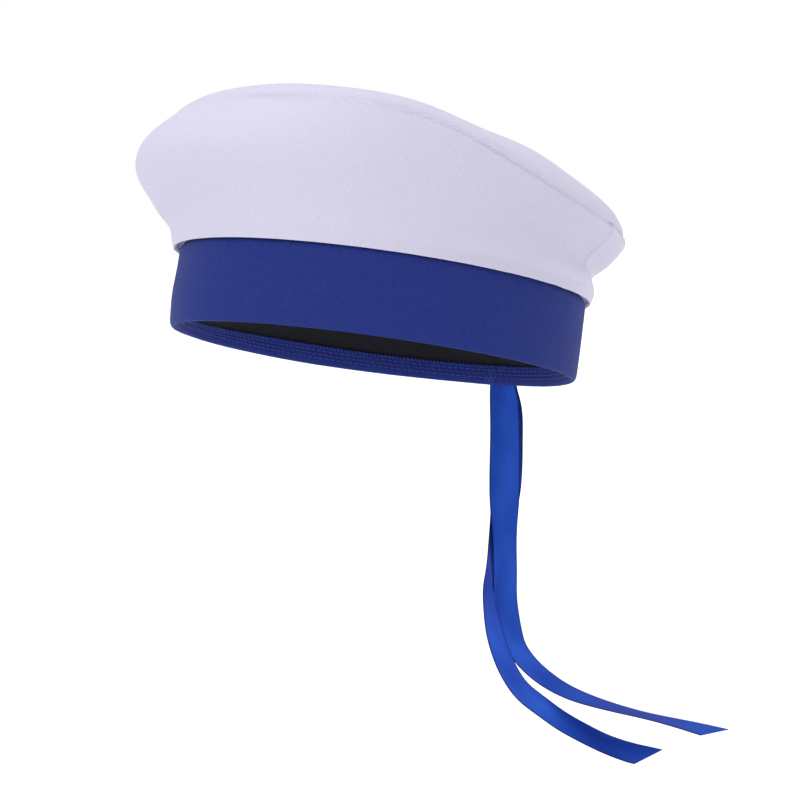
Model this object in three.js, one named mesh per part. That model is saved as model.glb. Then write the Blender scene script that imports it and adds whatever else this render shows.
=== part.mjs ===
// Sailor cap: a blue head band with a turned-up hem and a black lining, a soft white crown of two
// side pieces and a domed top, and two satin ribbons sewn to the back of the band.
// Millimetres, +Z up. The origin is the middle of the rim, where the head goes in.
// The wearer faces -Y, and the wearer's left is +X.
import * as THREE from "three";
import { mergeVertices } from "three/addons/utils/BufferGeometryUtils.js";

const { degToRad, lerp, euclideanModulo } = THREE.MathUtils;

// The head band, in the cap's own frame, whose z runs up through the crown.
const HALF_WIDTH = 90; // outside of the band, from the middle to over an ear
const HALF_LENGTH = 96; // outside of the band, from the middle to the forehead
const BAND_HEIGHT = 36.5;
const BAND_CLOTH = 1.2;
const HEM_HEIGHT = 8.5; // the part of the band's cloth that is turned up inside
const HEM_CLOTH = 1;
const LINING_CLOTH = 1;
const GAP = 0.3; // between pieces that are sewn together
const LINING_FOOT = 3; // the lining's lower edge, above the rim
const BACK_TILT = 11.6; // degrees that the cap sits tipped towards the nape

// The crown.
const CROWN_CLOTH = 1.4;
const LAP = 1.5; // how far the crown's lower edge hangs over the band's top edge
const SIDE_SEAM = 108; // degrees from the forehead to each side seam
const DOME_HEIGHT = 27; // middle of the top piece above the plane of its seam
const DOME_MIDDLE_BACK = 8; // the dome's middle lies this far behind the head's
const SEAM_PLANE_UP = 80; // the top seam lies near a plane that crosses the middle at this height,
const SEAM_FALL_BACK = 0.17; // falls by this much for each millimetre towards the nape,
const SEAM_FALL_LEFT = 0.05; // and by this much towards the wearer's left

// The crown's shape in eight directions. "at" is degrees from the forehead towards the wearer's
// left. "out" columns are measured from the band's outer face and "up" columns from the rim. The
// roll is the fold of cloth over the band, the waist the hollow above it, the belly the widest
// part. The top seam is given by its distance from the middle and its height. "puff" is how high
// the top piece swells just inside the seam.
const CROWN = [
  { at: -135, rollOut: 4.0, rollUp: 40, waistOut: 3.0, waistUp: 46, bellyOut: 15, bellyUp: 58, seam: 107, seamUp: 67, puff: 23 },
  { at: -90, rollOut: 4.5, rollUp: 41, waistOut: 5.0, waistUp: 47, bellyOut: 24, bellyUp: 66, seam: 108.5, seamUp: 81, puff: 17 },
  { at: -45, rollOut: 4.4, rollUp: 41, waistOut: 6.0, waistUp: 46, bellyOut: 25.8, bellyUp: 70.5, seam: 104.5, seamUp: 94.5, puff: 11 },
  { at: 0, rollOut: 3.0, rollUp: 42, waistOut: 4.0, waistUp: 50, bellyOut: 9, bellyUp: 72, seam: 91.5, seamUp: 96.5, puff: 19 },
  { at: 45, rollOut: 3.5, rollUp: 43, waistOut: 3.8, waistUp: 52, bellyOut: 5, bellyUp: 70, seam: 93, seamUp: 93.5, puff: 16 },
  { at: 90, rollOut: 6.0, rollUp: 43, waistOut: 4.5, waistUp: 52, bellyOut: 7.5, bellyUp: 60, seam: 103.5, seamUp: 70, puff: 23 },
  { at: 135, rollOut: 3.2, rollUp: 39, waistOut: 0.5, waistUp: 45.5, bellyOut: 8.6, bellyUp: 54.5, seam: 105.5, seamUp: 64, puff: 27 },
  { at: 180, rollOut: 3.5, rollUp: 40, waistOut: 1.5, waistUp: 46, bellyOut: 8, bellyUp: 54, seam: 105, seamUp: 63, puff: 27 },
];

// Folds and dents of the side pieces: where each lies, how far it spreads round the crown and up
// it, and how far it lifts the cloth (a minus sign is a dent).
const FOLDS = [
  { at: -28, up: 55, round: 9, tall: 9, lift: 1.6 },
  { at: -12, up: 52, round: 10, tall: 8, lift: -1.4 },
  { at: 6, up: 74, round: 14, tall: 30, lift: 1.5 },
  { at: 150, up: 50, round: 18, tall: 5, lift: -1.8 },
  { at: -160, up: 50, round: 16, tall: 5, lift: -1.6 },
];

// The ribbons. They hang in a plane that faces between the wearer's front and left, and blow
// towards the wearer's left and back.
const RIBBON_WIDTH = 15;
const RIBBON_THICKNESS = 1;
const RIBBON_SEWN = 15; // length sewn flat to the back of the band
const SWEEP_HEADING = 40; // degrees from +X towards +Y

// Each ribbon's route below the band. "drop" and "sweep" run down and sideways in the hanging
// plane, "out" towards the wearer's front and left, and "twist" turns the width out of the plane.
const RIBBON_RIGHT = [
  { drop: 8, sweep: 0.9, out: 0, twist: 25 },
  { drop: 24, sweep: 1.4, out: 0, twist: 20 },
  { drop: 46, sweep: 1.4, out: 0, twist: 5 },
  { drop: 70, sweep: 1.6, out: 0, twist: -35 },
  { drop: 96, sweep: 2.3, out: 0, twist: -37 },
  { drop: 110, sweep: 3.5, out: 0, twist: -41 },
  { drop: 120, sweep: 5.2, out: 0, twist: -46 },
  { drop: 129, sweep: 8.3, out: 0, twist: -54 },
  { drop: 136.5, sweep: 14, out: 0, twist: -60 },
  { drop: 143.5, sweep: 22, out: 0, twist: -65 },
  { drop: 150.3, sweep: 33.5, out: 0, twist: -73 },
  { drop: 156.2, sweep: 50, out: 0, twist: -82 },
  { drop: 162, sweep: 72, out: 0, twist: -88 },
  { drop: 167.5, sweep: 94.5, out: 0, twist: -80 },
  { drop: 170, sweep: 104.5, out: 0, twist: -77 },
];
const RIBBON_LEFT = [
  { drop: 12, sweep: 2.4, out: -2.5, twist: 25 },
  { drop: 27, sweep: 2.4, out: -3, twist: 20 },
  { drop: 41, sweep: 1.9, out: -3, twist: 5 },
  { drop: 56, sweep: 0.9, out: -3, twist: -20 },
  { drop: 66, sweep: -0.8, out: -2, twist: -38 },
  { drop: 81, sweep: -3.7, out: 0, twist: -54 },
  { drop: 89, sweep: -5.6, out: 3, twist: -63 },
  { drop: 97, sweep: -7.4, out: 8, twist: -68 },
  { drop: 105, sweep: -8, out: 14.5, twist: -68 },
  { drop: 113, sweep: -6.5, out: 17.5, twist: -63 },
  { drop: 124, sweep: -3.2, out: 20, twist: -57 },
  { drop: 135, sweep: 1.2, out: 19.5, twist: -57 },
  { drop: 146, sweep: 8.2, out: 18, twist: -59 },
  { drop: 154, sweep: 17.8, out: 16, twist: -60 },
  { drop: 161.5, sweep: 27.5, out: 14, twist: -61 },
  { drop: 168, sweep: 38.5, out: 12.5, twist: -62 },
  { drop: 174, sweep: 50, out: 11, twist: -63 },
  { drop: 178, sweep: 61, out: 10, twist: -62 },
  { drop: 180.5, sweep: 70.5, out: 9, twist: -61 },
];
const CUT_SLANT = 1.0; // the cut end's slant: millimetres along for each millimetre across

// How finely the curved cloth is faceted.
const AROUND = 72;
const SIDE_STEPS = 12;
const TOP_STEPS = 8;
const FOLD_STEPS = 4;
const RIBBON_STEPS = 44;
const CUT_STEPS = 4; // the steps before a ribbon's end over which it takes up the slant of the cut

// A closed solid from sections set side by side. Each section is a list of pairs: a point on the
// cloth's outer face and the point behind it on the inner face.
function cloth(sections, joined) {
  const points = [];
  const pairs = sections[0].length;
  sections.forEach((section) => section.forEach(([outer, inner]) => points.push(outer, inner)));
  const outer = (s, i) => 2 * ((s % sections.length) * pairs + i);
  const inner = (s, i) => outer(s, i) + 1;
  const faces = [];
  const quad = (a, b, c, d) => faces.push([a, b, c], [a, c, d]);
  const last = pairs - 1;
  const spans = joined ? sections.length : sections.length - 1;
  for (let s = 0; s < spans; s++) {
    for (let i = 0; i < last; i++) {
      quad(outer(s, i), outer(s + 1, i), outer(s + 1, i + 1), outer(s, i + 1));
      quad(inner(s, i), inner(s, i + 1), inner(s + 1, i + 1), inner(s + 1, i));
    }
    quad(inner(s, 0), inner(s + 1, 0), outer(s + 1, 0), outer(s, 0));
    quad(outer(s, last), outer(s + 1, last), inner(s + 1, last), inner(s, last));
  }
  if (!joined) {
    const end = sections.length - 1;
    for (let i = 0; i < last; i++) {
      quad(inner(0, i), outer(0, i), outer(0, i + 1), inner(0, i + 1));
      quad(outer(end, i), inner(end, i), inner(end, i + 1), outer(end, i + 1));
    }
  }
  return closedSurface(points, faces);
}

// Points that fall together, as at the middle of the top, become one, and flat faces go.
function closedSurface(points, faces) {
  const loose = new THREE.BufferGeometry().setFromPoints(points);
  loose.setIndex(faces.flat());
  const merged = mergeVertices(loose, 1e-3);
  const index = merged.index.array;
  const kept = [];
  for (let i = 0; i < index.length; i += 3) {
    const [a, b, c] = index.slice(i, i + 3);
    if (a !== b && b !== c && c !== a) kept.push(a, b, c);
  }
  merged.setIndex(kept);
  merged.computeVertexNormals();
  return merged;
}

// A point of the cap's own frame, from degrees round from the forehead, distance and height.
function around(degrees, radius, up) {
  const turn = degToRad(degrees);
  return new THREE.Vector3(radius * Math.sin(turn), -radius * Math.cos(turn), up);
}

// The band's outer face is an oval; this is its distance from the middle.
function bandRadius(degrees) {
  const turn = degToRad(degrees);
  return (HALF_WIDTH * HALF_LENGTH) / Math.hypot(HALF_LENGTH * Math.sin(turn), HALF_WIDTH * Math.cos(turn));
}

// A column of the crown's table at any angle, on a smooth curve through the rows.
function crownColumn(name, degrees) {
  const step = 360 / CROWN.length;
  const place = euclideanModulo(degrees - CROWN[0].at, 360) / step;
  const row = Math.floor(place);
  const t = place - row;
  const [a, b, c, d] = [-1, 0, 1, 2].map((k) => CROWN[(row + k + CROWN.length) % CROWN.length][name]);
  return b + 0.5 * t * (c - a + t * (2 * a - 5 * b + 4 * c - d + t * (3 * (b - c) + d - a)));
}

function foldLift(degrees, up) {
  return FOLDS.reduce((sum, fold) => {
    const round = (euclideanModulo(degrees - fold.at + 180, 360) - 180) / fold.round;
    const tall = (up - fold.up) / fold.tall;
    return sum + fold.lift * Math.exp(-round * round - tall * tall);
  }, 0);
}

// One vertical section of a crown side: pairs of points from the band up to the top seam.
function sideSection(degrees) {
  const column = (name) => crownColumn(name, degrees);
  const band = bandRadius(degrees);
  const lip = band + GAP + 0.1 + CROWN_CLOTH;
  const route = new THREE.CatmullRomCurve3(
    [
      new THREE.Vector3(lip, 0, BAND_HEIGHT - LAP),
      new THREE.Vector3(band + column("rollOut"), 0, column("rollUp")),
      new THREE.Vector3(band + column("waistOut"), 0, column("waistUp")),
      new THREE.Vector3(band + column("bellyOut"), 0, column("bellyUp")),
      new THREE.Vector3(column("seam"), 0, column("seamUp")),
    ],
    false,
    "centripetal",
  );
  const pairs = [];
  for (let i = 0; i <= SIDE_STEPS; i++) {
    const at = i / SIDE_STEPS;
    const place = route.getPointAt(at);
    const along = route.getTangentAt(at);
    const lift = foldLift(degrees, place.z);
    const radius = place.x + lift;
    const inward = new THREE.Vector3(-along.z, 0, along.x).multiplyScalar(CROWN_CLOTH);
    if (i === 0 || i === SIDE_STEPS) inward.set(-CROWN_CLOTH, 0, 0); // both edges end level
    pairs.push([
      around(degrees, radius, place.z),
      around(degrees, radius + inward.x, place.z + inward.z),
    ]);
  }
  return pairs;
}

// The top piece from its seam to its middle, along one direction.
function topSection(degrees) {
  const seam = around(degrees, crownColumn("seam", degrees) - 0.2, crownColumn("seamUp", degrees));
  const planeUp = (point) => SEAM_PLANE_UP - SEAM_FALL_BACK * point.y - SEAM_FALL_LEFT * point.x;
  const middle = new THREE.Vector3(0, DOME_MIDDLE_BACK, 0);
  const offPlane = seam.z - planeUp(seam);
  const puff = crownColumn("puff", degrees);
  const place = (share) => {
    const point = middle.clone().lerp(seam, share);
    const rise = lerp(DOME_HEIGHT, puff, share * share) * Math.sqrt(1 - share * share);
    point.z = planeUp(point) + offPlane * share * share + GAP + CROWN_CLOTH + rise;
    return point;
  };
  const pairs = [];
  for (let i = 0; i <= TOP_STEPS; i++) {
    const share = Math.cos((Math.PI / 2) * (i / TOP_STEPS));
    const point = place(share);
    const inner = point.clone();
    inner.z -= CROWN_CLOTH;
    const pull = 1 - (CROWN_CLOTH / seam.length()) * share;
    inner.x *= pull;
    inner.y *= pull;
    pairs.push([point, inner]);
  }
  return pairs;
}

// A point on the band's oval, moved in by a depth along the oval's own normal.
function onBand(degrees, depth, up) {
  const turn = degToRad(degrees);
  const normal = new THREE.Vector2(Math.sin(turn) / HALF_WIDTH, -Math.cos(turn) / HALF_LENGTH).normalize();
  return new THREE.Vector3(
    HALF_WIDTH * Math.sin(turn) - depth * normal.x,
    -HALF_LENGTH * Math.cos(turn) - depth * normal.y,
    up,
  );
}

// The band's cloth: up the outer face, and round the fold at the rim into the hem.
function bandSection(degrees) {
  const pocket = LINING_CLOTH + 2 * GAP; // room for the lining between face and hem
  const foldOut = (BAND_CLOTH + pocket + HEM_CLOTH) / 2;
  const pairs = [
    [onBand(degrees, 0, BAND_HEIGHT), onBand(degrees, BAND_CLOTH, BAND_HEIGHT)],
    [onBand(degrees, 0, BAND_HEIGHT / 2), onBand(degrees, BAND_CLOTH, BAND_HEIGHT / 2)],
  ];
  for (let i = 0; i <= FOLD_STEPS; i++) {
    const turn = Math.PI * (i / FOLD_STEPS);
    const room = pocket / 2;
    pairs.push([
      onBand(degrees, foldOut - foldOut * Math.cos(turn), foldOut - foldOut * Math.sin(turn)),
      onBand(degrees, BAND_CLOTH + room - room * Math.cos(turn), foldOut - room * Math.sin(turn)),
    ]);
  }
  const hemFace = BAND_CLOTH + pocket + HEM_CLOTH;
  pairs.push([onBand(degrees, hemFace, HEM_HEIGHT), onBand(degrees, hemFace - HEM_CLOTH, HEM_HEIGHT)]);
  return pairs.reverse();
}

function liningSection(degrees) {
  const face = BAND_CLOTH + GAP;
  return [LINING_FOOT, BAND_HEIGHT - 0.5].map((up) => [
    onBand(degrees, face, up),
    onBand(degrees, face + LINING_CLOTH, up),
  ]);
}

// The ribbon's solid, from its sewn end on the back of the band to its slanted cut.
function ribbon(rows, layer) {
  const tilt = new THREE.Euler(degToRad(-BACK_TILT), 0, 0);
  const stand = GAP + 0.15 + RIBBON_THICKNESS / 2 + layer * (RIBBON_THICKNESS + GAP);
  const sewn = (up) => onBand(180, -stand, up).applyEuler(tilt);
  const heading = degToRad(SWEEP_HEADING);
  const sweepWay = new THREE.Vector3(Math.cos(heading), Math.sin(heading), 0);
  const outWay = new THREE.Vector3(Math.sin(heading), -Math.cos(heading), 0);
  const foot = sewn(0);
  const stations = [
    { place: sewn(RIBBON_SEWN), twist: SWEEP_HEADING },
    { place: sewn(RIBBON_SEWN / 2), twist: SWEEP_HEADING },
    { place: sewn(0.5), twist: SWEEP_HEADING },
    ...rows.map((row) => ({
      place: foot
        .clone()
        .addScaledVector(sweepWay, row.sweep)
        .addScaledVector(outWay, row.out)
        .add(new THREE.Vector3(0, 0, -row.drop)),
      twist: row.twist,
    })),
  ];
  const route = new THREE.CatmullRomCurve3(stations.map((s) => s.place), false, "centripetal");
  const twists = new THREE.SplineCurve(stations.map((s, i) => new THREE.Vector2(i, s.twist)));
  const sections = [];
  for (let i = 0; i <= RIBBON_STEPS; i++) {
    const t = i / RIBBON_STEPS;
    const along = route.getTangent(t);
    const across = new THREE.Vector3().crossVectors(outWay, along).normalize();
    const twist = degToRad(twists.getPoint(t).y);
    across.multiplyScalar(Math.cos(twist)).addScaledVector(outWay, Math.sin(twist));
    across.addScaledVector(along, -across.dot(along)).normalize();
    const face = new THREE.Vector3().crossVectors(along, across).normalize();
    const place = route.getPoint(t);
    const cut = (CUT_SLANT * RIBBON_WIDTH / 2) * Math.max(0, 1 - (RIBBON_STEPS - i) / CUT_STEPS);
    const edge = (side, lift) =>
      place
        .clone()
        .addScaledVector(across, (side * RIBBON_WIDTH) / 2)
        .addScaledVector(along, side * cut)
        .addScaledVector(face, lift * (RIBBON_THICKNESS / 2));
    sections.push([
      [edge(-1, 1), edge(-1, -1)],
      [edge(1, 1), edge(1, -1)],
    ]);
  }
  return cloth(sections, false);
}

// The directions round the cap at which its sections stand. A side piece takes those between its
// two seams, and ends half a gap short of each seam.
const loop = Array.from({ length: AROUND }, (_, i) => (360 * i) / AROUND);
const seamGap = THREE.MathUtils.radToDeg(GAP / 2 / HALF_LENGTH);
function directions(from, to) {
  const turns = [...loop.map((at) => at - 360), ...loop];
  return [from + seamGap, ...turns.filter((at) => at > from + 1 && at < to - 1), to - seamGap];
}
const frontAngles = directions(-SIDE_SEAM, SIDE_SEAM);
const backAngles = directions(SIDE_SEAM, 360 - SIDE_SEAM);

const WHITE_TWILL = new THREE.MeshStandardMaterial({ color: "#e9e6f8", roughness: 0.85, metalness: 0 });
const BLUE_CLOTH = new THREE.MeshStandardMaterial({ color: "#2b3a86", roughness: 0.75, metalness: 0 });
const BLACK_LINING = new THREE.MeshStandardMaterial({ color: "#1b1d20", roughness: 0.9, metalness: 0 });
const BLUE_SATIN = new THREE.MeshStandardMaterial({ color: "#2a4fb4", roughness: 0.35, metalness: 0 });

function piece(name, geometry, material) {
  const mesh = new THREE.Mesh(geometry, material);
  mesh.name = name;
  return mesh;
}

const cap = new THREE.Group();
cap.rotation.x = degToRad(-BACK_TILT);
cap.add(
  piece("band", cloth(loop.map(bandSection), true), BLUE_CLOTH),
  piece("band_lining", cloth(loop.map(liningSection), true), BLACK_LINING),
  piece("crown_side_front", cloth(frontAngles.map(sideSection), false), WHITE_TWILL),
  piece("crown_side_back", cloth(backAngles.map(sideSection), false), WHITE_TWILL),
  piece("crown_top", cloth(loop.map(topSection), true), WHITE_TWILL),
);

const part = new THREE.Group();
part.add(
  cap,
  piece("ribbon_right", ribbon(RIBBON_RIGHT, 0), BLUE_SATIN),
  piece("ribbon_left", ribbon(RIBBON_LEFT, 1), BLUE_SATIN),
);

export default part;
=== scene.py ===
# %% [markdown]
# # A sailor cap in cloth
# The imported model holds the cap's true sizes: band, lining, crown and ribbons. It comes in as a
# fixed frame that is never moved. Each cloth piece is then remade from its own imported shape, with
# finer cloth, turned edges, stitches and a woven finish.
# %% Load the frame
import math

import bpy
from mathutils import Matrix, Vector, noise
from mathutils.bvhtree import BVHTree
from mathutils.kdtree import KDTree


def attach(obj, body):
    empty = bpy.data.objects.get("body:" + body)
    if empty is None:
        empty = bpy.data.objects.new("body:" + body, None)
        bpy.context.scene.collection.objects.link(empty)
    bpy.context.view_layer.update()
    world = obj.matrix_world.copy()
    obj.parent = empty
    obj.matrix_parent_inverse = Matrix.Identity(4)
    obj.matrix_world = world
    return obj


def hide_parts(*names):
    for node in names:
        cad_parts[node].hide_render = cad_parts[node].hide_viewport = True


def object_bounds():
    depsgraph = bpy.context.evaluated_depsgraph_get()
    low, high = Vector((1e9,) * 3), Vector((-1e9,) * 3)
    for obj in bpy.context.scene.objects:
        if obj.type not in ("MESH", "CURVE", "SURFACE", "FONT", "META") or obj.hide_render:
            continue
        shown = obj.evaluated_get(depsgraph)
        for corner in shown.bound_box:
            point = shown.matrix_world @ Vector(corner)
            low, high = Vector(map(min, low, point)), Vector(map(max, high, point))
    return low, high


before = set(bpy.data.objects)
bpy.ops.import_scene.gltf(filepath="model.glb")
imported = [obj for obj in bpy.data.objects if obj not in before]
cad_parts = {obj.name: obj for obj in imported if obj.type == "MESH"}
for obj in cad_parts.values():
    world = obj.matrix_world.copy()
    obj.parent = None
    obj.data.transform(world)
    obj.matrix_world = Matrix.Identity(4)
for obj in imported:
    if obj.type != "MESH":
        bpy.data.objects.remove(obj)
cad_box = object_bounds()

MM = 0.001
print("frame:", sorted(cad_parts))

# %% [markdown]
# The camera comes first. It looks at the cap's left front, a little above it, from just over a
# metre away with a long lens, so the cap stays in true proportion. It stands a little beside and
# below the line to the head, which puts the cap in the upper half and leaves room for the ribbons.
# %% Camera
CAMERA_TURN = math.radians(40)
CAMERA_RISE = math.radians(4.8)
CAMERA_DISTANCE = 1.1
CAMERA_LENS = 109.5
CAMERA_ASIDE = 11.8 * MM
CAMERA_LOWER = 20.7 * MM

back = Vector((
    math.sin(CAMERA_TURN) * math.cos(CAMERA_RISE),
    -math.cos(CAMERA_TURN) * math.cos(CAMERA_RISE),
    math.sin(CAMERA_RISE),
))
right = Vector((math.cos(CAMERA_TURN), math.sin(CAMERA_TURN), 0))
up = back.cross(right)
camera_data = bpy.data.cameras.new("camera")
camera_data.lens = CAMERA_LENS
camera = bpy.data.objects.new("camera", camera_data)
bpy.context.scene.collection.objects.link(camera)
camera.matrix_world = Matrix.Translation(
    back * CAMERA_DISTANCE + right * CAMERA_ASIDE - up * CAMERA_LOWER
) @ Matrix((right, up, back)).transposed().to_4x4()
bpy.context.scene.camera = camera
print("camera at", [round(x, 3) for x in camera.matrix_world.translation])

# %% [markdown]
# A pale floor lies well below the ribbons. It is painted white and matt.
# %% Floor
FLOOR_DROP = 60 * MM
FLOOR_SIZE = 60


def linear(hex_colour):
    """A hex colour of a screen as the linear colour that shaders take."""
    parts = [int(hex_colour[i:i + 2], 16) / 255 for i in (1, 3, 5)]
    return [p / 12.92 if p <= 0.04045 else ((p + 0.055) / 1.055) ** 2.4 for p in parts] + [1.0]


bpy.ops.mesh.primitive_plane_add(size=FLOOR_SIZE, location=(0, 0, cad_box[0].z - FLOOR_DROP))
floor = bpy.context.object
floor.name = "floor"
bpy.ops.object.transform_apply()
floor_finish = bpy.data.materials.new("white paint")
floor_finish.use_nodes = True
floor_sockets = floor_finish.node_tree.nodes["Principled BSDF"].inputs
floor_sockets["Base Color"].default_value = linear("#fafafa")
floor_sockets["Roughness"].default_value = 0.9
floor_sockets["Specular IOR Level"].default_value = 0.1
floor.data.materials.append(floor_finish)
print("floor at", round((cad_box[0].z - FLOOR_DROP) / MM), "mm")

# %% [markdown]
# The light is that of a white studio. All round is an even white, which shows as full white and
# gives a little less light than that, so that the lamps can shape the cloth.
# %% White surround
SURROUND_LIGHT = 0.72
SURROUND_SHOWN = 1.0

world = bpy.data.worlds.new("studio")
world.use_nodes = True
surround = world.node_tree.nodes["Background"]
surround.inputs["Color"].default_value = (1, 1, 1, 1)
seen = world.node_tree.nodes.new("ShaderNodeLightPath")
level = world.node_tree.nodes.new("ShaderNodeMapRange")
level.inputs["To Min"].default_value = SURROUND_LIGHT
level.inputs["To Max"].default_value = SURROUND_SHOWN
world.node_tree.links.new(seen.outputs["Is Camera Ray"], level.inputs["Value"])
world.node_tree.links.new(level.outputs["Result"], surround.inputs["Strength"])
bpy.context.scene.world = world
bpy.context.scene.view_settings.view_transform = "Standard"
print("surround gives", SURROUND_LIGHT, "and shows", SURROUND_SHOWN)

# %% [markdown]
# A broad key light comes from the left of the camera, a second one from above, a weak one from the
# right, and a rim light from behind on the right, which the satin ribbons mirror. All are soft, as
# from large boxes, so the folds stay gentle.
# %% Lamps
LAMPS = (
    {"name": "key", "strength": 1.25, "softness": 35, "turn": 0, "height": 40},
    {"name": "top", "strength": 1.05, "softness": 50, "turn": 250, "height": 68},
    {"name": "fill", "strength": 0.1, "softness": 60, "turn": 70, "height": 30},
    {"name": "rim", "strength": 0.55, "softness": 40, "turn": 152, "height": 24},
)

for row in LAMPS:
    light = bpy.data.lights.new(row["name"], "SUN")
    light.energy = row["strength"]
    light.angle = math.radians(row["softness"])
    lamp = bpy.data.objects.new(row["name"], light)
    bpy.context.scene.collection.objects.link(lamp)
    lamp.rotation_euler = (math.radians(90 - row["height"]), 0, math.radians(row["turn"]))
print("lamps:", [row["name"] for row in LAMPS])

# %% [markdown]
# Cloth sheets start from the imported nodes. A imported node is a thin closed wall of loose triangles.
# A copy is merged, its triangles are joined into squares, and every face but the outer ones is
# deleted, which leaves one sheet that can be smoothed, creased and given its real thickness.
# %% The cap's own frame
BACK_TILT = math.radians(11.6)
TO_CAP = Matrix.Rotation(BACK_TILT, 4, "X")  # the cap's own upright frame
FROM_CAP = TO_CAP.inverted()
HALF_WIDTH = 90 * MM
HALF_LENGTH = 96 * MM
BAND_HEIGHT = 36.5 * MM


def heading(place):
    """Radians round from the forehead towards the wearer's left."""
    return math.atan2(place.x, -place.y)


print("band oval:", round(2 * HALF_WIDTH / MM), "by", round(2 * HALF_LENGTH / MM), "mm")

# %% From a packed wall to a sheet
SAME_POINT = 0.02 * MM


def select_only(piece):
    if bpy.context.mode != "OBJECT":
        bpy.ops.object.mode_set(mode="OBJECT")
    bpy.ops.object.select_all(action="DESELECT")
    piece.select_set(True)
    bpy.context.view_layer.objects.active = piece


def packed_copy(node_name, name, bend):
    """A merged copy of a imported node, its triangles joined into squares that bend up to an angle."""
    piece = bpy.data.objects.new(name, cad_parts[node_name].data.copy())
    bpy.context.scene.collection.objects.link(piece)
    piece.data.materials.clear()
    select_only(piece)
    bpy.ops.object.mode_set(mode="EDIT")
    bpy.ops.mesh.select_all(action="SELECT")
    bpy.ops.mesh.customdata_custom_splitnormals_clear()
    bpy.ops.mesh.remove_doubles(threshold=SAME_POINT)
    bpy.ops.mesh.tris_convert_to_quads(face_threshold=bend, shape_threshold=bend)
    bpy.ops.mesh.select_mode(type="FACE")
    bpy.ops.mesh.select_all(action="DESELECT")
    bpy.ops.object.mode_set(mode="OBJECT")
    return piece


def sheet_of(node_name, name, is_outer):
    piece = packed_copy(node_name, name, math.radians(120))
    for face in piece.data.polygons:
        face.select = not is_outer(TO_CAP @ face.center, TO_CAP.to_3x3() @ face.normal)
    bpy.ops.object.mode_set(mode="EDIT")
    bpy.ops.mesh.delete(type="FACE")
    bpy.ops.object.mode_set(mode="OBJECT")
    odd = sum(len(f.vertices) != 4 for f in piece.data.polygons)
    print(name, "sheet:", len(piece.data.polygons), "faces,", odd, "not square")
    return piece


# %% Finer cloth, thickness and smooth shading
def apply_modifier(piece, kind, **settings):
    select_only(piece)
    modifier = piece.modifiers.new(kind.lower(), kind)
    for key, value in settings.items():
        setattr(modifier, key, value)
    bpy.ops.object.modifier_apply(modifier=modifier.name)
    print(piece.name, kind.lower(), "faces:", len(piece.data.polygons))


def refine(piece, levels):
    apply_modifier(piece, "SUBSURF", levels=levels, render_levels=levels, boundary_smooth="PRESERVE_CORNERS")


def thicken(piece, thickness):
    apply_modifier(piece, "SOLIDIFY", thickness=thickness, offset=-1, use_even_offset=False)


def smooth(piece, degrees):
    select_only(piece)
    bpy.ops.object.shade_smooth_by_angle(angle=math.radians(degrees))


# %% Shaping a sheet and laying it out flat
def reshape(piece, move):
    """Moves each point of a sheet as move says, from its number, place and normal in the cap's frame."""
    normals = [TO_CAP.to_3x3() @ v.normal for v in piece.data.vertices]
    for vertex, normal in zip(piece.data.vertices, normals):
        place = TO_CAP @ vertex.co
        vertex.co = FROM_CAP @ (place + move(vertex.index, place, normal))
    piece.data.update()


def lay_out(piece, flat):
    """Gives the sheet a UV map in metres of cloth, so that a weave keeps its real scale."""
    maps = piece.data.uv_layers
    layer = maps.get("cloth") or maps.new(name="cloth")
    for loop in piece.data.loops:
        place = TO_CAP @ piece.data.vertices[loop.vertex_index].co
        layer.data[loop.index].uv = flat(loop.vertex_index, place)
    for other in [each.name for each in maps if each.name != "cloth"]:
        maps.remove(maps[other])


# %% Hanging a finished piece on the root and hiding the imported nodes it replaces
def ride(piece, slot_name, *nodes):
    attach(piece, "root")
    if nodes:
        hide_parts(*nodes)


# %% [markdown]
# The finishes are cloths. Each is named for what it is, and its weave is drawn from waves whose
# spacing is the thread spacing in millimetres, drawn coarser than life so that it shows. A wave
# texture repeats every 0.314 units at scale 1, so its scale follows from the spacing.
# %% Helpers for materials
WAVE_LENGTH = 2 * math.pi / 20


def new_material(name, colour, roughness, sheen=0.0, sheen_roughness=0.5, specular=0.5):
    material = bpy.data.materials.new(name)
    material.use_nodes = True
    shader = material.node_tree.nodes["Principled BSDF"]
    shader.inputs["Base Color"].default_value = linear(colour)
    shader.inputs["Roughness"].default_value = roughness
    shader.inputs["Sheen Weight"].default_value = sheen
    shader.inputs["Sheen Roughness"].default_value = sheen_roughness
    shader.inputs["Specular IOR Level"].default_value = specular
    return material, shader


def add_node(material, kind, inputs=(), **settings):
    """One node with its settings; an input that is a socket is linked, any other is a value."""
    made = material.node_tree.nodes.new(kind)
    for key, value in settings.items():
        setattr(made, key, value)
    for key, value in dict(inputs).items():
        if isinstance(value, bpy.types.NodeSocket):
            material.node_tree.links.new(value, made.inputs[key])
        else:
            made.inputs[key].default_value = value
    return made


# %% Patterns of cloth
def threads(material, spacing, turn):
    """Waves across the cloth with the given spacing in metres, turned by the given degrees."""
    cloth_map = add_node(material, "ShaderNodeUVMap", uv_map="cloth")
    turned = add_node(material, "ShaderNodeMapping", {
        "Vector": cloth_map.outputs[0], "Rotation": (0, 0, math.radians(turn)),
    })
    waves = add_node(
        material, "ShaderNodeTexWave",
        {
            "Vector": turned.outputs[0], "Scale": WAVE_LENGTH / spacing,
            "Distortion": 0.6, "Detail": 1.0, "Detail Scale": 1.5,
        },
        wave_type="BANDS", bands_direction="X", wave_profile="SIN",
    )
    return waves.outputs["Fac"]


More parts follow.
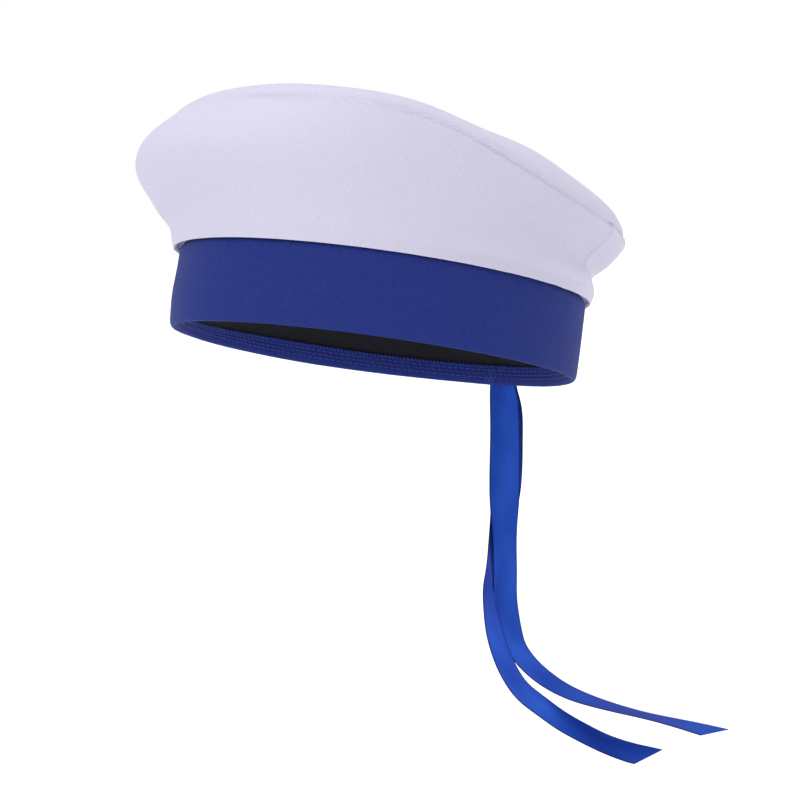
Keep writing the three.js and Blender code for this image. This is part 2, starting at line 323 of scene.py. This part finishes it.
def clouds(material, width, length, detail):
    """Soft spots of about the given width and length in metres, which lie along the cloth."""
    cloth_map = add_node(material, "ShaderNodeUVMap", uv_map="cloth")
    drawn_out = add_node(material, "ShaderNodeMapping", {
        "Vector": cloth_map.outputs[0], "Scale": (1 / width, 1 / length, 1),
    })
    spots = add_node(material, "ShaderNodeTexNoise", {
        "Vector": drawn_out.outputs[0], "Scale": 1.0, "Detail": detail,
    })
    return spots.outputs["Fac"]


def plain_weave(material, spacing):
    """Threads one way times threads the other way."""
    warp = threads(material, spacing, 0)
    weft = threads(material, spacing, 90)
    return add_node(material, "ShaderNodeMath", {0: warp, 1: weft}, operation="MULTIPLY").outputs[0]


def weighted(material, pattern_a, weight_a, pattern_b, weight_b):
    """The sum of two patterns, each times its weight."""
    part_a = add_node(material, "ShaderNodeMath", {0: pattern_a, 1: weight_a}, operation="MULTIPLY")
    part_b = add_node(material, "ShaderNodeMath", {0: pattern_b, 1: weight_b}, operation="MULTIPLY")
    both = {0: part_a.outputs[0], 1: part_b.outputs[0]}
    return add_node(material, "ShaderNodeMath", both, operation="ADD").outputs[0]


def mixed(material, shader, colour_a, colour_b, factor):
    """The shader's colour goes from one to the other as the factor rises."""
    ramp = add_node(material, "ShaderNodeValToRGB", {"Fac": factor})
    ramp.color_ramp.elements[0].color = linear(colour_a)
    ramp.color_ramp.elements[1].color = linear(colour_b)
    material.node_tree.links.new(ramp.outputs["Color"], shader.inputs["Base Color"])
    return ramp


def raised(material, shader, height, distance, strength):
    """The pattern stands out of the surface by a distance in metres."""
    bump = add_node(material, "ShaderNodeBump", {
        "Height": height, "Distance": distance, "Strength": strength,
    })
    material.node_tree.links.new(bump.outputs["Normal"], shader.inputs["Normal"])


# %% [markdown]
# The crown is white polyester gabardine, a twill: fine steep diagonal ridges, matt, with hardly any
# sheen. The ridges are drawn 0.9 mm apart, a few times coarser than life. A faint mottle keeps the
# white from looking painted.
# %% White gabardine
TWILL_SPACING = 0.9 * MM
TWILL_SLANT = 58
TWILL_MOTTLE = 3.85 * MM

crown_twill, shader = new_material("white polyester gabardine", "#bebbce", 0.6, sheen=0.03, specular=0.4)
ridges = threads(crown_twill, TWILL_SPACING, TWILL_SLANT)
weft = threads(crown_twill, TWILL_SPACING * 0.8, 0)
mottle = clouds(crown_twill, TWILL_MOTTLE, TWILL_MOTTLE, 3.0)
weave = weighted(crown_twill, ridges, 0.7, weft, 0.3)
mixed(crown_twill, shader, "#b7b4c8", "#c3c0d5", weighted(crown_twill, weave, 0.6, mottle, 0.4))
raised(crown_twill, shader, weave, 0.12 * MM, 0.45)
print(crown_twill.name, "nodes:", len(crown_twill.node_tree.nodes))

# %% [markdown]
# The band is a plain woven polyester in royal blue, dull, with a soft bloom at glancing angles. Its
# threads are drawn 1 mm apart, coarser than life.
# %% Blue band cloth
WEAVE_SPACING = 1.0 * MM
BAND_SPECKLE = 2.38 * MM

band_cloth, shader = new_material(
    "royal blue polyester", "#24327e", 0.85, sheen=0.05, sheen_roughness=0.4, specular=0.12,
)
crossing = plain_weave(band_cloth, WEAVE_SPACING)
speckle = clouds(band_cloth, BAND_SPECKLE, BAND_SPECKLE, 2.0)
mixed(band_cloth, shader, "#1a2766", "#263580", weighted(band_cloth, crossing, 0.5, speckle, 0.6))
raised(band_cloth, shader, crossing, 0.15 * MM, 0.6)
print(band_cloth.name, "nodes:", len(band_cloth.node_tree.nodes))

# %% [markdown]
# The lining is black cotton in the same plain weave, quite flat and dark.
# %% Black lining cloth
lining_cloth, shader = new_material("black cotton", "#1a1b20", 0.9, sheen=0.1, specular=0.2)
crossing = plain_weave(lining_cloth, WEAVE_SPACING)
mixed(lining_cloth, shader, "#17181d", "#2a2c34", crossing)
raised(lining_cloth, shader, crossing, 0.15 * MM, 0.5)
print(lining_cloth.name, "nodes:", len(lining_cloth.node_tree.nodes))

# %% [markdown]
# The ribbons are polyester satin. Its long floats of thread mirror light almost as a tinted metal
# does, so it is part metallic. Its colour carries soft lighter and darker clouds of painted sheen,
# and each edge is painted darker, as painted shade along the edge. The fine ribs run across, drawn coarser
# than life.
# %% Blue satin
RIBBON_WIDTH = 15 * MM
RIB_SPACING = 0.7 * MM
EDGE_SHADE_WIDTH = 0.6 * MM
EDGE_SHADE_STOP = 0.4  # up to here the range of blues is the painted edge shade
SHEEN_CLOUD_WIDTH = 16.7 * MM
SHEEN_CLOUD_LENGTH = 38.5 * MM

ribbon_satin, shader = new_material("royal blue satin", "#1b3f9c", 0.42, specular=0.1)
shader.inputs["Metallic"].default_value = 0.4
shader.inputs["Specular Tint"].default_value = linear("#3a6ee0")
cloth_map = add_node(ribbon_satin, "ShaderNodeUVMap", uv_map="cloth")
across = add_node(ribbon_satin, "ShaderNodeSeparateXYZ", {"Vector": cloth_map.outputs[0]})
from_middle = add_node(ribbon_satin, "ShaderNodeMath", {0: across.outputs["X"]}, operation="ABSOLUTE")
# Painted shade: the colour darkens over the last part of the width towards each edge.
inside = add_node(ribbon_satin, "ShaderNodeMapRange", {
    "Value": from_middle.outputs[0],
    "From Min": RIBBON_WIDTH / 2 - EDGE_SHADE_WIDTH, "From Max": RIBBON_WIDTH / 2 - EDGE_SHADE_WIDTH / 2,
    "To Min": 1.0, "To Max": 0.0,
})
# Painted sheen: soft lighter and darker clouds of blue along the satin.
painted_sheen = add_node(ribbon_satin, "ShaderNodeMapRange", {
    "Value": clouds(ribbon_satin, SHEEN_CLOUD_WIDTH, SHEEN_CLOUD_LENGTH, 1.0),
    "From Min": 0.3, "From Max": 0.7,
    "To Min": EDGE_SHADE_STOP, "To Max": 1.0,
})
both = {0: inside.outputs[0], 1: painted_sheen.outputs[0]}
shade = add_node(ribbon_satin, "ShaderNodeMath", both, operation="MULTIPLY")
# The dark end of these blues is painted edge shade, the light end painted sheen.
blues = mixed(ribbon_satin, shader, "#0c1c50", "#2b55b8", shade.outputs[0])
blues.color_ramp.elements.new(EDGE_SHADE_STOP).color = linear("#1c3c98")
raised(ribbon_satin, shader, threads(ribbon_satin, RIB_SPACING, 90), 0.05 * MM, 0.35)
print(ribbon_satin.name, "nodes:", len(ribbon_satin.node_tree.nodes))

# %% [markdown]
# Sewing thread is shiny polyester, a shade lighter than the cloth it holds. Its plies are twisted
# together, so it is lighter and darker by turns.
# %% Sewing thread
TWIST = 0.4 * MM


def twisted(material, shader, dark, light):
    place = add_node(material, "ShaderNodeTexCoord").outputs["Object"]
    turns = add_node(material, "ShaderNodeTexNoise", {"Vector": place, "Scale": 1 / TWIST, "Detail": 1.0})
    mixed(material, shader, dark, light, turns.outputs["Fac"])


blue_thread, shader = new_material("blue sewing thread", "#2c3f98", 0.5, sheen=0.1)
twisted(blue_thread, shader, "#26378a", "#3448a6")
dark_thread, shader = new_material("dark blue sewing thread", "#141c4c", 0.5, sheen=0.2)
twisted(dark_thread, shader, "#10173f", "#1a245c")
print("threads:", blue_thread.name, "and", dark_thread.name)

# %% [markdown]
# ## The crown
# Two side panels and a domed top are sewn along one seam round the top and two down the sides. Each
# panel starts as a sheet from its packed wall and gets its cloth map while it is still coarse: round
# the cap and up it on the sides, and straight across the top.
# %% Crown panels
CORE = Vector((0, 8 * MM, 45 * MM))  # a point well inside the crown
CROWN_RADIUS = 100 * MM              # for laying the sides out flat


def side_is_outer(centre, normal):
    return normal.xy.dot(centre.xy.normalized()) > 0.25


def top_is_outer(centre, normal):
    return normal.dot((centre - CORE).normalized()) > 0.2


def front_flat(index, place):
    return heading(place) * CROWN_RADIUS, place.z


def back_flat(index, place):
    return (heading(place) % (2 * math.pi)) * CROWN_RADIUS, place.z


def top_flat(index, place):
    return place.x, place.y


panels = []
for node, is_outer, flat in (
    ("crown_side_front", side_is_outer, front_flat),
    ("crown_side_back", side_is_outer, back_flat),
    ("crown_top", top_is_outer, top_flat),
):
    panel = sheet_of(node, node + "_cloth", is_outer)
    lay_out(panel, flat)
    panel.data.materials.append(bpy.data.materials.new(node))
    panels.append(panel)

# %% [markdown]
# The three panels are joined and their facing edges welded, so that smoothing carries on across the
# seams as it does in cloth. The panels stay told apart by their materials.
# %% Sew the panels together
SEAM_REACH = 2.2 * MM

select_only(panels[0])
for panel in panels[1:]:
    panel.select_set(True)
bpy.ops.object.join()
crown = bpy.context.object
bpy.ops.object.mode_set(mode="EDIT")
bpy.ops.mesh.select_mode(type="VERT")
bpy.ops.mesh.select_all(action="DESELECT")
bpy.ops.mesh.select_non_manifold()
bpy.ops.mesh.remove_doubles(threshold=SEAM_REACH)
bpy.ops.mesh.select_all(action="DESELECT")
bpy.ops.mesh.select_non_manifold()
bpy.ops.mesh.fill_holes(sides=4)
bpy.ops.object.mode_set(mode="OBJECT")
refine(crown, 3)
print("crown:", len(crown.data.polygons), "faces,", len(crown.data.materials), "panels")

# %% [markdown]
# Every point is told which panels it belongs to. A point of two panels lies on their seam, and a
# search tree of such points gives any other point its distance from the seam.
# %% Find the seams
FRONT, REAR, TOP = 0, 1, 2

panel_of = {}
for face in crown.data.polygons:
    for index in face.vertices:
        panel_of.setdefault(index, set()).add(face.material_index)


def points_tree(indices):
    tree = KDTree(len(indices))
    for index in indices:
        tree.insert(TO_CAP @ crown.data.vertices[index].co, index)
    tree.balance()
    return tree


round_top = [i for i, near in panel_of.items() if TOP in near and len(near) > 1]
down_sides = [i for i, near in panel_of.items() if {FRONT, REAR} <= near]
on_top = {i for i, near in panel_of.items() if near == {TOP}}
top_seam = points_tree(round_top)
side_seam = points_tree(down_sides)
print("seam points:", len(round_top), "round the top,", len(down_sides), "down the sides")

# %% [markdown]
# Sewing leaves its mark on cloth. Right at a seam the cloth dips into a fine valley, and a few
# millimetres below, the folded allowance inside lifts it in a soft ridge with small puckers. At the
# front the seam has been pressed soft, so there it hardly shows. Just above the band the cloth is
# gathered a little. Between the seams it only drapes, in long low waves.
# %% Swells, steps and waves
def swell(distance, at, spread):
    return math.exp(-(((distance - at) / spread) ** 2))


def step(value, start, end):
    share = min(1, max(0, (value - start) / (end - start)))
    return share * share * (3 - 2 * share)


def wave(seed, first, second):
    return noise.noise(Vector((first, second, seed)))


# %% Seams, ridges and puckers
# Each is a height, a distance from the seam and a spread, in millimetres.
TOP_VALLEY = (-0.65, 0, 0.7)
RIDGE_ABOVE = (0.15, 3, 2)
RIDGE_BELOW = (0.6, 2.6, 1.9)
SIDE_VALLEY = (-0.6, 0, 0.9)
SIDE_RIDGE = (0.3, 2.8, 1.6)


def along_seam(distance, profile):
    height, at, spread = profile
    return height * MM * swell(distance, at * MM, spread * MM)


def crown_move(index, place, normal):
    seam = top_seam.find(place)[2]
    side = side_seam.find(place)[2]
    degrees = math.degrees(heading(place))
    sharp = max(step(degrees, 26, 60), step(-degrees, 60, 85))
    along = heading(place) * HALF_LENGTH
    above = place.z - BAND_HEIGHT
    free = step(seam, 2 * MM, 18 * MM)
    pucker = wave(3.0, along / (10 * MM), seam / (16 * MM)) * math.exp(-seam / (8 * MM))
    lift = sharp * (along_seam(seam, TOP_VALLEY) + 0.45 * MM * pucker)
    if index in on_top:
        drape = wave(17.0, place.x / (50 * MM), place.y / (50 * MM))
        lift += sharp * along_seam(seam, RIDGE_ABOVE) + 0.9 * MM * free * drape
    else:
        clear = step(above, 0, 4 * MM) * step(seam, 0, 4 * MM)
        gather = wave(9.0, along / (9 * MM), above / (18 * MM)) * math.exp(-max(0, above) / (10 * MM))
        drape = wave(5.0, along / (46 * MM), place.z / (34 * MM)) * step(above, 2 * MM, 16 * MM)
        lift += sharp * along_seam(seam, RIDGE_BELOW)
        lift += clear * (along_seam(side, SIDE_VALLEY) + along_seam(side, SIDE_RIDGE))
        lift += 0.4 * MM * gather + 0.8 * MM * free * drape
    return normal * lift


# %% [markdown]
# The cap was stuffed and handled, so its crown also bulges and sags a little here and there. A row
# gives the panels that a bulge is on, its heading in degrees, its height above the rim, how far it
# spreads in each, and how far it lifts the cloth. A minus sign is a dent.
# %% Bulges and dents
BULGES = (
    {"panels": {FRONT}, "at": -42, "round": 22, "up": 82, "tall": 8, "lift": 1.6},
    {"panels": {FRONT, TOP}, "at": -40, "round": 14, "up": 99, "tall": 6, "lift": -1.6},
    {"panels": {FRONT}, "at": -50, "round": 16, "up": 50, "tall": 6, "lift": 1.6},
    {"panels": {FRONT}, "at": -46, "round": 20, "up": 37, "tall": 5, "lift": 1.2},
    {"panels": {TOP}, "at": 62, "round": 18, "up": 98, "tall": 9, "lift": -1.4},
    {"panels": {TOP}, "at": 86, "round": 12, "up": 91, "tall": 9, "lift": 1.2},
    {"panels": {FRONT, REAR}, "at": 120, "round": 12, "up": 60, "tall": 6, "lift": 2.2},
    {"panels": {FRONT}, "at": 75, "round": 45, "up": 41.5, "tall": 4, "lift": 1.5},
)


def bulge_move(index, place, normal):
    degrees = math.degrees(heading(place))
    lift = 0
    for row in BULGES:
        if panel_of[index] & row["panels"]:
            height_share = swell(place.z / MM, row["up"], row["tall"])
            lift += row["lift"] * MM * swell(degrees, row["at"], row["round"]) * height_share
    return normal * lift


reshape(crown, bulge_move)
reshape(crown, crown_move)
print("bulges:", len(BULGES))

# %% [markdown]
# The cloth is cut at its seams again, so that each panel is a piece of its own, and gets its real
# thickness towards the inside.
# %% Cut the panels apart and give the cloth its thickness
CROWN_CLOTH = 1.2 * MM

select_only(crown)
bpy.ops.object.mode_set(mode="EDIT")
bpy.ops.mesh.select_all(action="SELECT")
bpy.ops.mesh.separate(type="MATERIAL")
bpy.ops.object.mode_set(mode="OBJECT")
for panel in list(bpy.context.selected_objects):
    node = panel.data.materials[panel.data.polygons[0].material_index].name
    panel.name = node + "_cloth"
    panel.data.materials.clear()
    panel.data.materials.append(crown_twill)
    thicken(panel, CROWN_CLOTH)
    smooth(panel, 60)
    ride(panel, "crown_twill", node)
    print(panel.name, "triangles:", 2 * len(panel.data.polygons))

# %% [markdown]
# ## The band and its lining
# The band is one strip: up the outside it is plain, and at the rim it folds under into a hem. It is
# drawn as one ring of edge, extruded down the face, round the fold and up the inside.
# %% An oval ring of cloth
RING_POINTS = 180


def ring_sheet(name, profile):
    """An oval ring of edge, extruded through each row of its profile."""
    depth, height = profile[0]
    bpy.ops.object.select_all(action="DESELECT")
    bpy.ops.mesh.primitive_circle_add(vertices=RING_POINTS, radius=1, location=(0, 0, 0))
    piece = bpy.context.object
    piece.name = name
    bpy.ops.object.mode_set(mode="EDIT")
    bpy.ops.mesh.select_mode(type="EDGE")
    bpy.ops.mesh.select_all(action="SELECT")
    half = [HALF_WIDTH - depth * MM, HALF_LENGTH - depth * MM]
    bpy.ops.transform.resize(value=(half[0], half[1], 1))
    bpy.ops.transform.translate(value=(0, 0, height * MM))
    for next_depth, next_height in profile[1:]:
        rise = (0, 0, (next_height - height) * MM)
        bpy.ops.mesh.extrude_region_move(TRANSFORM_OT_translate={"value": rise})
        new_half = [HALF_WIDTH - next_depth * MM, HALF_LENGTH - next_depth * MM]
        bpy.ops.transform.resize(value=(new_half[0] / half[0], new_half[1] / half[1], 1))
        half, height = new_half, next_height
    bpy.ops.object.mode_set(mode="OBJECT")
    print(name, "rings:", len(profile), "faces:", len(piece.data.polygons))
    return piece


def face_outwards(piece, outwards):
    """Turns a ring's faces to point away from the wearer's head, or towards it."""
    widest = max(piece.data.polygons, key=lambda f: f.center.length)
    if (widest.normal.dot(widest.center) > 0) == outwards:
        return
    select_only(piece)
    bpy.ops.object.mode_set(mode="EDIT")
    bpy.ops.mesh.select_all(action="SELECT")
    bpy.ops.mesh.flip_normals()
    bpy.ops.object.mode_set(mode="OBJECT")


def in_place(piece):
    """Tips a piece drawn upright back into the way the cap sits."""
    piece.data.transform(FROM_CAP)
    piece.data.update()


# %% Band
BAND_CLOTH = 0.9 * MM
BAND_RADIUS = 93 * MM  # for laying the strip out flat
HEM_FOOT = 3.04 * MM   # an uneven hem is narrower above this height
HEM_TOP = 8.5 * MM
RIM_DROOP = 0.7 * MM
DROOP_AT = -115
DROOP_SPREAD = 34
FACE_ROWS = [  # depth inside the outer face and height above the rim, in millimetres
    (1.4, 36.5), (0.9, 35.8), (0.5, 35.2), (0.15, 34.6), (0, 33.8),
    (0, 29), (0, 24), (0, 18), (0, 12), (0.05, 7), (0.02, 4),
]
FOLD_ROWS = [(0.1, 1.8), (0.5, 0.3), (1.2, -0.5), (2.1, -0.6), (2.9, 0.0), (3.5, 1.3), (3.8, 3.0)]
HEM_ROWS = [(3.85, 4.4), (3.8, 5.6), (3.8, 6.8), (3.75, 7.9), (3.6, 8.4)]


def hem_share(degrees):
    """The hem was turned up unevenly: at the front it is about half as wide as at the back."""
    return 0.52 + 0.48 * (step(-degrees, 55, 118) if degrees < 0 else step(degrees, 20, 90))


def band_move(index, place, normal):
    along = heading(place) * HALF_LENGTH
    seam = (math.pi - abs(heading(place))) * HALF_LENGTH
    degrees = math.degrees(heading(place))
    lift = 0.3 * MM * wave(21.0, along / (40 * MM), place.z / (25 * MM))
    lift += 0.7 * MM * swell(degrees, -48, 22) * swell(place.z, 13 * MM, 9 * MM)
    lift += 0.07 * MM * wave(25.0, along / (8 * MM), place.z / (12 * MM))
    lift += 0.3 * MM * swell(seam, 3 * MM, 1.6 * MM) - 0.5 * MM * swell(seam, 0, 0.9 * MM)
    droop = RIM_DROOP * swell(degrees, DROOP_AT, DROOP_SPREAD) * (1 - step(place.z, 0, 16 * MM))
    on_hem = normal.xy.dot(place.xy) < 0 and HEM_FOOT < place.z < HEM_TOP + 2 * MM
    narrower = (place.z - HEM_FOOT) * (1 - hem_share(degrees)) if on_hem else 0
    return normal * lift - Vector((0, 0, droop + narrower))


def band_flat(index, place):
    return heading(place) * BAND_RADIUS, place.z


band = ring_sheet("band_cloth_strip", FACE_ROWS + FOLD_ROWS + HEM_ROWS)
face_outwards(band, True)
in_place(band)
refine(band, 1)
reshape(band, band_move)
lay_out(band, band_flat)
thicken(band, BAND_CLOTH)
smooth(band, 60)
band.data.materials.append(band_cloth)
ride(band, "band_cloth", "band")
print(band.name, "triangles:", 2 * len(band.data.polygons))

# %% [markdown]
# The lining is a plain strip behind the hem, a little uneven where it was sewn in. Its finished
# side faces the wearer's head.
# %% Lining
LINING_CLOTH = 0.6 * MM
LINING_ROWS = [(2.4, 4.5), (2.45, 9), (2.4, 13), (2.35, 18), (2.35, 24), (2.3, 30), (2.1, 35.5)]


def lining_move(index, place, normal):
    along = heading(place) * HALF_LENGTH
    return normal * 0.4 * MM * wave(31.0, along / (22 * MM), place.z / (20 * MM))


lining = ring_sheet("band_lining_strip", LINING_ROWS)
face_outwards(lining, False)
in_place(lining)
refine(lining, 1)
reshape(lining, lining_move)
lay_out(lining, band_flat)
thicken(lining, LINING_CLOTH)
smooth(lining, 60)
lining.data.materials.append(lining_cloth)
ride(lining, "lining_cloth", "band_lining")
print(lining.name, "triangles:", 2 * len(lining.data.polygons))

# %% [markdown]
# ## Sewing
# The hem is held by three rows of machine stitches, and its raw edge is overlocked. Each stitch is
# a small rounded grain of thread. One is modelled, and each copy is laid on the finished cloth,
# found by looking outwards from inside the cap, then a row is joined into one piece.
# %% Find the inner wall
STITCH_DROOP = 0.5 * MM  # the droop of the rim, at the height of the stitches

hem_surface = BVHTree.FromPolygons(
    [v.co for v in band.data.vertices], [f.vertices for f in band.data.polygons],
)


def inside_wall(turn, height):
    """The point of the inner wall at a heading and height, with the ways along, up and inwards."""
    degrees = (math.degrees(turn) + 180) % 360 - 180
    height = HEM_FOOT + (height - HEM_FOOT) * hem_share(degrees)
    height -= STITCH_DROOP * swell(degrees, DROOP_AT, DROOP_SPREAD)
    outward = FROM_CAP.to_3x3() @ Vector((math.sin(turn), -math.cos(turn), 0))
    start = FROM_CAP @ Vector((0, 0, height)) + outward * (HALF_WIDTH - 25 * MM)
    place = hem_surface.ray_cast(start, outward)[0]
    upward = FROM_CAP.to_3x3() @ Vector((0, 0, 1))
    return place, upward.cross(outward).normalized(), upward, -outward


# %% One stitch, and sewing with it
THREAD = 0.4 * MM

bpy.ops.object.select_all(action="DESELECT")
bpy.ops.mesh.primitive_uv_sphere_add(segments=6, ring_count=4, radius=0.5, location=(0, 0, 0))
grain = bpy.context.object
grain.name = "thread_grain"


def sew(name, material, stitches):
    """Stitches are (heading, height, length, slant in degrees); all become one piece."""
    row = []
    for turn, height, length, slant in stitches:
        place, along, upward, inward = inside_wall(turn, height)
        lean = math.radians(slant)
        run = along * math.cos(lean) + upward * math.sin(lean)
        rise = inward.cross(run)
        turned = Matrix((run * length, rise * THREAD, inward * THREAD)).transposed().to_4x4()
        stitch = bpy.data.objects.new(name, grain.data.copy())
        stitch.data.transform(Matrix.Translation(place + inward * THREAD * 0.2) @ turned)
        bpy.context.scene.collection.objects.link(stitch)
        row.append(stitch)
    select_only(row[0])
    for stitch in row:
        stitch.select_set(True)
    bpy.ops.object.join()
    piece = bpy.context.object
    piece.name = name
    bpy.ops.object.shade_smooth()
    piece.data.materials.append(material)
    ride(piece, "band_cloth")
    print(name, len(stitches), "stitches,", len(piece.data.polygons), "faces")


# %% Rows of stitches
ROUND = 2 * math.pi * (HALF_WIDTH + HALF_LENGTH) / 2
ROW_HEIGHTS = (2.6, 4.4, 6.2)
STITCH = 2.5 * MM
STITCH_GAP = 0.6 * MM

count = int(ROUND / (STITCH + STITCH_GAP))
for number, height in enumerate(ROW_HEIGHTS):
    sew(
        f"hem_stitches_{number + 1}", blue_thread,
        [(2 * math.pi * (i + 0.3 * number) / count, height * MM, STITCH, 0) for i in range(count)],
    )

# %% Overlocked edge
OVERLOCK_PITCH = 1.9 * MM
OVERLOCK_HEIGHT = 7.9 * MM
OVERLOCK_STITCH = 2.2 * MM
OVERLOCK_SLANT = 55

count = int(ROUND / OVERLOCK_PITCH)
sew(
    "hem_overlock", blue_thread,
    [(2 * math.pi * i / count, OVERLOCK_HEIGHT, OVERLOCK_STITCH, OVERLOCK_SLANT) for i in range(count)],
)

# %% [markdown]
# At the back the strip's two ends meet in a seam, and the ribbons are tacked on there by hand, with
# a few crossing stitches that show on the inside.
# %% Back seam and tacks
BACK = math.pi
MM_TURN = MM / HALF_LENGTH  # the heading of a millimetre along the band at the back
SEAM_STITCH = 2.0 * MM
TACK = 4.2 * MM


def tack(number):
    """Tacks lean one way low down and the other way higher up, by turns."""
    high = number % 2
    return BACK + (1.2 + 0.75 * number) * MM_TURN, (2.4 + 3.2 * high) * MM, TACK, 62 if high else 112


sew("back_seam_thread", dark_thread, [(BACK, (1.8 + 1.5 * i) * MM, SEAM_STITCH, 88) for i in range(5)])
sew("ribbon_tacks", blue_thread, [tack(i) for i in range(7)])
bpy.data.objects.remove(grain)

# %% [markdown]
# ## The ribbons
# Each ribbon is a single strip of satin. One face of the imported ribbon, the one nearer the other
# ribbon, gives its route and twist. It is smoothed into a fine strip and gets a real thickness of
# about a third of a millimetre.
# %% One strip from a packed ribbon
EDGE_WALL = 1.6 * MM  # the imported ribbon's edge walls are narrower than this


def aside(strip):
    """How far a strip lies to the right of the camera's view, on the mean of its points."""
    return sum(vertex.co.dot(right) for vertex in strip.data.vertices) / len(strip.data.vertices)


def is_edge_wall(piece, face):
    corners = [piece.data.vertices[i].co for i in face.vertices]
    sides = [(a - b).length for a, b in zip(corners, corners[1:] + corners[:1])]
    return sum(side < EDGE_WALL for side in sides) > 1


def ribbon_sheet(node_name, name):
    """Without its thin edge walls a packed ribbon is two strips: the one facing its neighbour is kept."""
    piece = packed_copy(node_name, name, math.pi)
    for face in piece.data.polygons:
        face.select = is_edge_wall(piece, face)
    bpy.ops.object.mode_set(mode="EDIT")
    bpy.ops.mesh.delete(type="FACE")
    bpy.ops.mesh.select_all(action="SELECT")
    bpy.ops.mesh.separate(type="LOOSE")
    bpy.ops.object.mode_set(mode="OBJECT")
    side = 1 if node_name == "ribbon_right" else -1
    strips = sorted(bpy.context.selected_objects, key=lambda strip: side * aside(strip))
    for extra in strips[1:]:
        bpy.data.objects.remove(extra)
    strips[0].name = name
    print(name, "strips:", len(strips), "faces:", len(strips[0].data.polygons))
    return strips[0]


# %% [markdown]
# The strip's points lie in pairs, like the rungs of a ladder. Walking down the rungs measures the
# ribbon's length and lays it out flat.
# %% Lay a ribbon out flat
def rungs_of(piece):
    """The strip's crosswise pairs of points, in order from the sewn end to the cut end."""
    partners = {}
    for face in piece.data.polygons:
        for a, b in face.edge_keys:
            partners.setdefault(a, set()).add(b)
            partners.setdefault(b, set()).add(a)
    ends = [i for i, near in partners.items() if len(near) == 2]
    top = sorted(ends, key=lambda i: -piece.data.vertices[i].co.z)[:2]
    rungs = [tuple(top)]
    used = set(top)
    while True:
        following = tuple(next((n for n in partners[i] if n not in used), None) for i in rungs[-1])
        if None in following:
            return rungs
        rungs.append(following)
        used.update(following)


def map_ribbon(piece):
    """Lays the strip out flat and gives its length."""
    points = piece.data.vertices
    flat_place = {}
    along = 0
    middle = None
    for a, b in rungs_of(piece):
        next_middle = (points[a].co + points[b].co) / 2
        along += (next_middle - middle).length if middle is not None else 0
        middle = next_middle
        flat_place[a] = (-RIBBON_WIDTH / 2, along)
        flat_place[b] = (RIBBON_WIDTH / 2, along)
    lay_out(piece, lambda index, place: flat_place[index])
    return along


# %% [markdown]
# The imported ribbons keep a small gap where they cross. The real ones touch there, so each finished
# strip is nudged towards the other around the crossing.
# %% Ribbons
SATIN = 0.35 * MM
TOUCH = 0.7 * MM
TOUCH_HEIGHT = -124 * MM
TOUCH_SPREAD = 11 * MM


def nudged(way):
    return lambda index, place, normal: way * swell((FROM_CAP @ place).z, TOUCH_HEIGHT, TOUCH_SPREAD)


for node_name, side in (("ribbon_right", -1), ("ribbon_left", 1)):
    ribbon = ribbon_sheet(node_name, node_name + "_satin")
    length = map_ribbon(ribbon)
    refine(ribbon, 3)
    reshape(ribbon, nudged(TO_CAP.to_3x3() @ right * TOUCH * side))
    thicken(ribbon, SATIN)
    smooth(ribbon, 50)
    ribbon.data.materials.append(ribbon_satin)
    ride(ribbon, "ribbon_satin", node_name)
    print(ribbon.name, "length", round(length / MM, 1), "mm")
